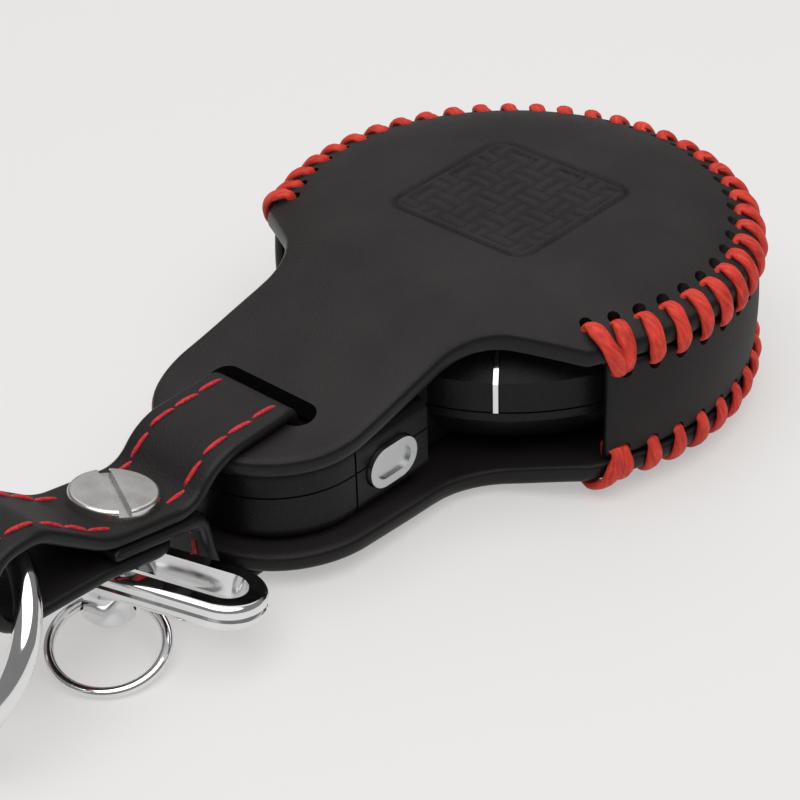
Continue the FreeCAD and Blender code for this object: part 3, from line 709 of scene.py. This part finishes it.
def add(tree, kind, **settings):
    """A node with its settings; names with a capital set input sockets."""
    node = tree.nodes.new(kind)
    for key, value in settings.items():
        if key[0].isupper():
            node.inputs[key.replace("_", " ")].default_value = value
        else:
            setattr(node, key, value)
    return node


def feed(tree, socket, value):
    """Links a node's output to the socket, or sets a plain value on it."""
    if isinstance(value, bpy.types.NodeSocket):
        tree.links.new(value, socket)
    else:
        socket.default_value = value


def new_group(name, inputs, outputs):
    """An empty node group with these sockets, and its two end nodes."""
    tree = bpy.data.node_groups.new(name, "ShaderNodeTree")
    for label, kind, value in inputs:
        socket = tree.interface.new_socket(name=label, in_out="INPUT", socket_type=kind)
        if value is not None:
            socket.default_value = value
    for label, kind in outputs:
        tree.interface.new_socket(name=label, in_out="OUTPUT", socket_type=kind)
    return tree, tree.nodes.new("NodeGroupInput"), tree.nodes.new("NodeGroupOutput")


def math_node(tree, operation, a, b=None, clamp=False):
    """The result of one operation on outputs or plain numbers."""
    node = add(tree, "ShaderNodeMath", operation=operation, use_clamp=clamp)
    feed(tree, node.inputs[0], a)
    if b is not None:
        feed(tree, node.inputs[1], b)
    return node.outputs[0]


def mix_colour(tree, share, first, second, blend="MIX"):
    """The first colour where the share is 0, and the second blended with it where it is 1."""
    node = add(tree, "ShaderNodeMix", data_type="RGBA", blend_type=blend)
    feed(tree, node.inputs[0], share)
    feed(tree, node.inputs[6], first)
    feed(tree, node.inputs[7], second)
    return node.outputs[2]


# %% grain group
def make_grain():
    """Height = fine pores from cells' edges plus soft noise; Tone = slow mottling about 0.5."""
    inputs = [("Vector", "NodeSocketVector", None), ("Cells", "NodeSocketFloat", 2600.0)]
    outputs = [("Height", "NodeSocketFloat"), ("Tone", "NodeSocketFloat")]
    tree, enter, leave = new_group("leather_grain", inputs, outputs)
    cells = add(tree, "ShaderNodeTexVoronoi", feature="DISTANCE_TO_EDGE")
    fine = add(tree, "ShaderNodeTexNoise", Scale=4200.0, Detail=3.0)
    slow = add(tree, "ShaderNodeTexNoise", Scale=130.0, Detail=4.0)
    wire(tree, [(enter.outputs["Vector"], node.inputs["Vector"]) for node in (cells, fine, slow)])
    wire(tree, [(enter.outputs["Cells"], cells.inputs["Scale"])])
    pores = math_node(tree, "MULTIPLY", cells.outputs["Distance"], 2.2, clamp=True)
    height = math_node(tree, "ADD", pores, math_node(tree, "MULTIPLY", fine.outputs[0], 0.5))
    wire(tree, [(height, leave.inputs["Height"]), (slow.outputs[0], leave.inputs["Tone"])])
    return tree


grain = make_grain()
print("group", grain.name)

# %% material starter
def new_material(name, **settings):
    """A Principled material with plain values on its own sockets."""
    material = bpy.data.materials.new(name)
    material.use_nodes = True
    shader = material.node_tree.nodes["Principled BSDF"]
    for key, value in settings.items():
        shader.inputs[key.replace("_", " ")].default_value = value
    return material, material.node_tree, shader


def ramp(tree, value, low, high, start, end):
    """Colour that goes from low at start to high at end."""
    span = add(tree, "ShaderNodeMapRange", From_Min=start, From_Max=end)
    wire(tree, [(value, span.inputs["Value"])])
    return mix_colour(tree, span.outputs[0], low, high)


def bump(tree, shader, height, strength, distance):
    """Bends the shader's normal by a height."""
    node = add(tree, "ShaderNodeBump", Strength=strength, Distance=distance)
    wire(tree, [(height, node.inputs["Height"]), (node.outputs[0], shader.inputs["Normal"])])


# %% [markdown]
# ## Leather
# The faces are warm charcoal with pores finer than half a millimetre. Cut edges are burnished and
# painted, so they are darker and smoother. On panels the edge shows by how far its normal leans
# from upright; strips carry an edge attribute. The stamp's groove and sunk weave carry painted
# shade, darker the deeper they lie.

# %% edges and stamp
charcoal_low = (0.0155, 0.0133, 0.013, 1)
charcoal_high = (0.025, 0.0217, 0.0212, 1)
painted_edge = (0.007, 0.0073, 0.0075, 1)
stamp_shade = (0.4, 0.4, 0.4, 1)


def edge_mask(tree, upright):
    """1 on cut edges: where an upright piece's normal leans, or as the strip's attribute says."""
    if upright:
        normal = add(tree, "ShaderNodeNewGeometry").outputs["Normal"]
        split = add(tree, "ShaderNodeSeparateXYZ")
        wire(tree, [(normal, split.inputs[0])])
        lean = math_node(tree, "SUBTRACT", 1.0, math_node(tree, "ABSOLUTE", split.outputs["Z"]))
        span = add(tree, "ShaderNodeMapRange", From_Min=0.22, From_Max=0.4)
        wire(tree, [(lean, span.inputs["Value"])])
        return span.outputs[0]
    return add(tree, "ShaderNodeAttribute", attribute_name="edge").outputs["Fac"]


def weave_stamp(tree, vector):
    """Share of the stamp's depth, in nodes, which places the painted shade: its groove, and bars that swap
    direction from cell to cell.
    """
    calc = partial(math_node, tree)
    split = add(tree, "ShaderNodeSeparateXYZ")
    wire(tree, [(vector, split.inputs[0])])
    x, y = split.outputs["X"], split.outputs["Y"]
    straight = (stamp_half - stamp_corner) * MM
    past_x, past_y = (calc("MAXIMUM", calc("SUBTRACT", calc("ABSOLUTE", v), straight), 0.0) for v in (x, y))
    square = calc("ADD", calc("MULTIPLY", past_x, past_x), calc("MULTIPLY", past_y, past_y))
    away = calc("SUBTRACT", calc("SQRT", square), stamp_corner * MM)
    inside = calc("LESS_THAN", away, -stamp_border * MM)
    middle = calc("ABSOLUTE", calc("ADD", away, groove_half * MM))
    groove = calc("SUBTRACT", 1.0, calc("DIVIDE", middle, groove_half * MM), clamp=True)
    cell_x, cell_y = (calc("FLOOR", calc("DIVIDE", v, stamp_cell * MM)) for v in (x, y))
    odd = calc("ABSOLUTE", calc("MODULO", calc("ADD", cell_x, cell_y), 2.0))
    even = calc("SUBTRACT", 1.0, odd)
    pace = 2 * math.pi / (stamp_cell * MM)
    bars_x, bars_y = (calc("ABSOLUTE", calc("SINE", calc("MULTIPLY", v, pace))) for v in (x, y))
    bars = calc("ADD", calc("MULTIPLY", bars_x, odd), calc("MULTIPLY", bars_y, even))
    sunk = calc("MULTIPLY", inside, calc("SUBTRACT", 1.0, calc("MULTIPLY", bars, 0.9)))
    return calc("ADD", sunk, groove)


# %% leathers
def make_leather(name, upright, stamped=False, deep=1.0):
    """Mottled charcoal with pores, painted on its edges and with painted shade in a stamp's recesses; deep
    scales its colours.
    """
    material, tree, shader = new_material(name, Specular_IOR_Level=0.26)
    where = add(tree, "ShaderNodeTexCoord").outputs["Object"]
    skin = add(tree, "ShaderNodeGroup", node_tree=grain)
    wire(tree, [(where, skin.inputs["Vector"])])
    rim = edge_mask(tree, upright)
    low, high = (tuple(c * deep for c in shade[:3]) + (1,) for shade in (charcoal_low, charcoal_high))
    colour = mix_colour(tree, rim, ramp(tree, skin.outputs["Tone"], low, high, 0.3, 0.7), painted_edge)
    if stamped:
        # Painted shade: the stamp's recesses are multiplied darker by their share of the depth.
        colour = mix_colour(tree, weave_stamp(tree, where), colour, stamp_shade, "MULTIPLY")
    rough = add(tree, "ShaderNodeMapRange", To_Min=0.6, To_Max=0.38)
    wire(tree, [(rim, rough.inputs["Value"]), (rough.outputs[0], shader.inputs["Roughness"])])
    face = math_node(tree, "SUBTRACT", 1.0, math_node(tree, "MULTIPLY", rim, 0.8))
    height = math_node(tree, "MULTIPLY", skin.outputs["Height"], face)
    bump(tree, shader, height, 0.5, 0.00006)
    wire(tree, [(colour, shader.inputs["Base Color"])])
    return material


def dress(piece, material):
    """Sets the piece's only material."""
    piece.data.materials.clear()
    piece.data.materials.append(material)


dress(top_cover, make_leather("tooled_leather", True, stamped=True))
dress(bottom_cover, make_leather("panel_leather", True))
# The side strip's colours are scaled to 0.7 as painted shade on its upright faces, which get less of the
# light from above; the strap's 0.8 only makes it darker.
dress(side_strip, make_leather("side_leather", False, deep=0.7))
dress(strap, make_leather("strip_leather", False, deep=0.8))
print("leathers done")

# %% [markdown]
# ## Cord and thread
# Waxed cord is a tight bundle of fibres that winds slowly round. Its map runs in millimetres along
# the cord and once round it. Bent onto a helix, those two numbers give noise that is stretched along
# the fibres and has no seam. Thread is too fine for that and takes plain noise.

# %% cord
fibre_stretch = 0.7
fibre_twist = 0.45
fibre_spread = 2.4


def fibre_noise(tree):
    """Noise at (stretch * run, spread * cos, spread * sin) of the turn round the cord plus its twist."""
    calc = partial(math_node, tree)
    split = add(tree, "ShaderNodeSeparateXYZ")
    wire(tree, [(add(tree, "ShaderNodeUVMap", uv_map="run").outputs[0], split.inputs[0])])
    run, around = split.outputs["X"], split.outputs["Y"]
    turn = calc("ADD", calc("MULTIPLY", around, 2 * math.pi), calc("MULTIPLY", run, fibre_twist))
    place = add(tree, "ShaderNodeCombineXYZ")
    wire(tree, [(calc("MULTIPLY", run, fibre_stretch), place.inputs["X"]),
                (calc("MULTIPLY", calc("COSINE", turn), fibre_spread), place.inputs["Y"]),
                (calc("MULTIPLY", calc("SINE", turn), fibre_spread), place.inputs["Z"])])
    fibre = add(tree, "ShaderNodeTexNoise", Scale=1.0, Detail=5.0, Roughness=0.65)
    wire(tree, [(place.outputs[0], fibre.inputs["Vector"])])
    return fibre.outputs[0]


def make_cord_finish(name, low, high, mapped):
    """Red that follows the fibres where the piece has a map, and plain noise where it has none."""
    material, tree, shader = new_material(name, Roughness=0.52, Specular_IOR_Level=0.28)
    coords = add(tree, "ShaderNodeTexCoord").outputs["Object"]
    fluff = add(tree, "ShaderNodeTexNoise", Scale=3600.0, Detail=4.0)
    slow = add(tree, "ShaderNodeTexNoise", Scale=420.0, Detail=2.0)
    wire(tree, [(coords, fluff.inputs["Vector"]), (coords, slow.inputs["Vector"])])
    height = fibre_noise(tree) if mapped else fluff.outputs[0]
    patches = math_node(tree, "MULTIPLY", slow.outputs[0], 0.3)
    tone = math_node(tree, "ADD", math_node(tree, "MULTIPLY", height, 0.7), patches)
    wire(tree, [(ramp(tree, tone, low, high, 0.3, 0.65), shader.inputs["Base Color"])])
    rough = math_node(tree, "ADD", height, math_node(tree, "MULTIPLY", fluff.outputs[0], 0.25))
    bump(tree, shader, rough, 0.7, 0.0002)
    return material


cord_finish = make_cord_finish("red_cord", (0.33, 0.014, 0.009, 1), (0.98, 0.078, 0.048, 1), True)
thread_finish = make_cord_finish("crimson_thread", (0.36, 0.014, 0.022, 1), (0.86, 0.055, 0.07, 1), False)
dress(top_cord, cord_finish)
dress(bottom_cord, cord_finish)
dress(stitches, thread_finish)
print("cord and thread done")

# %% [markdown]
# ## Metal and plastic
# Polished metal takes its look from what it mirrors, with faint wear. Satin metal is rougher. The
# fob is black plastic with an eroded texture that sparkles a little.

# %% hard finishes
def make_metal(name, colour, polished, worn):
    """Metal whose roughness goes from polished to worn with fine rubbing."""
    material, tree, shader = new_material(name, Metallic=1.0)
    where = add(tree, "ShaderNodeTexCoord").outputs["Object"]
    rub = add(tree, "ShaderNodeTexNoise", Scale=350.0, Detail=6.0)
    wire(tree, [(where, rub.inputs["Vector"])])
    rough = add(tree, "ShaderNodeMapRange", From_Min=0.35, From_Max=0.75, To_Min=polished, To_Max=worn)
    wire(tree, [(rub.outputs[0], rough.inputs["Value"]), (rough.outputs[0], shader.inputs["Roughness"])])
    dull = tuple(c * 0.93 for c in colour[:3]) + (1,)
    wire(tree, [(ramp(tree, rub.outputs[0], dull, colour, 0.3, 0.7), shader.inputs["Base Color"])])
    return material


def make_plastic(name, low, high, rough, grit, depth):
    """Plastic with an even texture: grit is how fine it is, depth how deep."""
    material, tree, shader = new_material(name, Roughness=rough, Specular_IOR_Level=0.2)
    where = add(tree, "ShaderNodeTexCoord").outputs["Object"]
    spark = add(tree, "ShaderNodeTexNoise", Scale=grit, Detail=3.0)
    wire(tree, [(where, spark.inputs["Vector"])])
    wire(tree, [(ramp(tree, spark.outputs[0], low, high, 0.3, 0.7), shader.inputs["Base Color"])])
    bump(tree, shader, spark.outputs[0], 0.4, depth)
    return material


chrome = make_metal("polished_chrome", (0.86, 0.86, 0.87, 1), 0.05, 0.16)
nickel = make_metal("satin_nickel_finish", (0.76, 0.745, 0.725, 1), 0.2, 0.34)
steel = make_metal("plain_steel", (0.6, 0.6, 0.59, 1), 0.25, 0.4)
black = make_plastic("eroded_black", (0.004, 0.004, 0.0046, 1), (0.01, 0.01, 0.0112, 1),
                     0.4, 3000.0, 0.00006)
grey = make_plastic("button_rubber", (0.03, 0.03, 0.03, 1), (0.06, 0.06, 0.06, 1), 0.6, 2500.0, 0.00004)
green = make_plastic("board_resist", (0.015, 0.09, 0.035, 1), (0.03, 0.16, 0.06, 1), 0.35, 900.0, 0.00002)
silver = make_metal("satin_silver", (0.62, 0.63, 0.64, 1), 0.3, 0.38)
finish_of = {"strap_screw": nickel, "screw_post": chrome, "small_ring": chrome, "key_bow": chrome,
             "loop_ring": chrome, "fob_upper_shell": black, "fob_lower_shell": black,
             "battery_cover": black, "key_handle_upper": black, "key_handle_lower": black,
             "fob_trim": chrome, "coin_cell": steel, "circuit_board": green, "key_blade": steel,
             "release_button": silver, "lock_button": grey, "unlock_button": grey, "boot_button": grey}
for node, finish in finish_of.items():
    dress(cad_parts[node], finish)
print("dressed CAD nodes", len(finish_of))

# %% [markdown]
# ## Floor, light and camera
# A pale seamless floor, a wide softbox overhead, a faint one behind, and an even world. Half of what
# the camera sees of the floor is its own glow, which keeps the shadow as thin as in a bright studio.
# The camera stands where the photograph was taken: 47 degrees round to the tail's near side, 34
# degrees up, with a long lens. It is rolled by 2 degrees, because the real cover rests on its rings
# and leans a little.

# %% floor
floor_mesh = bpy.data.meshes.new("floor")
floor_mesh.from_pydata([(-3, -3, 0), (3, -3, 0), (3, 3, 0), (-3, 3, 0)], [], [(0, 1, 2, 3)])
floor = bpy.data.objects.new("floor", floor_mesh)
bpy.context.scene.collection.objects.link(floor)
floor_colour = (0.87, 0.866, 0.858, 1)
pale, _, _ = new_material("pale_floor", Base_Color=floor_colour, Roughness=0.45, Specular_IOR_Level=0.3)
dress(floor, pale)


def lift_shadows(material, colour, share):
    """What the camera and mirrors see of the floor is part glow, which thins the shadow, not the light."""
    tree = material.node_tree
    path = add(tree, "ShaderNodeLightPath")
    seen = math_node(tree, "ADD", path.outputs["Is Camera Ray"], path.outputs["Is Glossy Ray"], clamp=True)
    glow = add(tree, "ShaderNodeEmission", Color=colour)
    mix = add(tree, "ShaderNodeMixShader")
    end = tree.nodes["Material Output"]
    wire(tree, [(math_node(tree, "MULTIPLY", seen, share), mix.inputs[0]),
                (tree.nodes["Principled BSDF"].outputs[0], mix.inputs[1]),
                (glow.outputs[0], mix.inputs[2]), (mix.outputs[0], end.inputs["Surface"])])


lift_shadows(pale, (0.825, 0.815, 0.8, 1), 0.5)
print("floor done")

# %% lights
lit_spot = (-0.02, 0, 0.01)


def softbox(name, where, size, watts):
    """A round area lamp that faces the lit spot."""
    lamp = bpy.data.lights.new(name, "AREA")
    lamp.shape = "ELLIPSE"
    lamp.size, lamp.size_y = size
    lamp.energy = watts
    holder = bpy.data.objects.new(name, lamp)
    bpy.context.scene.collection.objects.link(holder)
    way = Vector(lit_spot) - Vector(where)
    holder.location = where
    holder.rotation_euler = way.to_track_quat("-Z", "Y").to_euler()


softbox("top_box", (-0.1, -0.12, 0.7), (1.1, 1.1), 5.5)
softbox("back_box", (0.36, 0.32, 0.5), (0.7, 0.5), 0.6)
world = bpy.data.worlds.new("studio")
world.use_nodes = True
sky = world.node_tree.nodes["Background"]
sky.inputs["Color"].default_value = (0.985, 0.98, 0.97, 1)
sky.inputs["Strength"].default_value = 0.22
bpy.context.scene.world = world
bpy.context.scene.view_settings.view_transform = "Standard"
print("lamps", len(bpy.data.lights))

# %% camera
azimuth, elevation, roll = np.radians([-46.84, 33.67, -1.87])
outward = math.cos(elevation)
back = np.array([math.sin(azimuth) * outward, -math.cos(azimuth) * outward, math.sin(elevation)])
level = np.array([math.cos(azimuth), math.sin(azimuth), 0])
right = level * math.cos(roll) + np.cross(back, level) * math.sin(roll)
upward = np.cross(back, right)
eye = np.array([-174.43, -146.94, 147.88]) * MM
camera_data = bpy.data.cameras.new("camera")
camera_data.lens = 112.5
camera_data.sensor_width = 36.0
camera_data.clip_start = 0.01
camera = bpy.data.objects.new("camera", camera_data)
bpy.context.scene.collection.objects.link(camera)
place = np.eye(4)
place[:3] = np.column_stack([right, upward, back, eye])
camera.matrix_world = Matrix(place.tolist())
bpy.context.scene.camera = camera
print("camera at", eye.round(4))
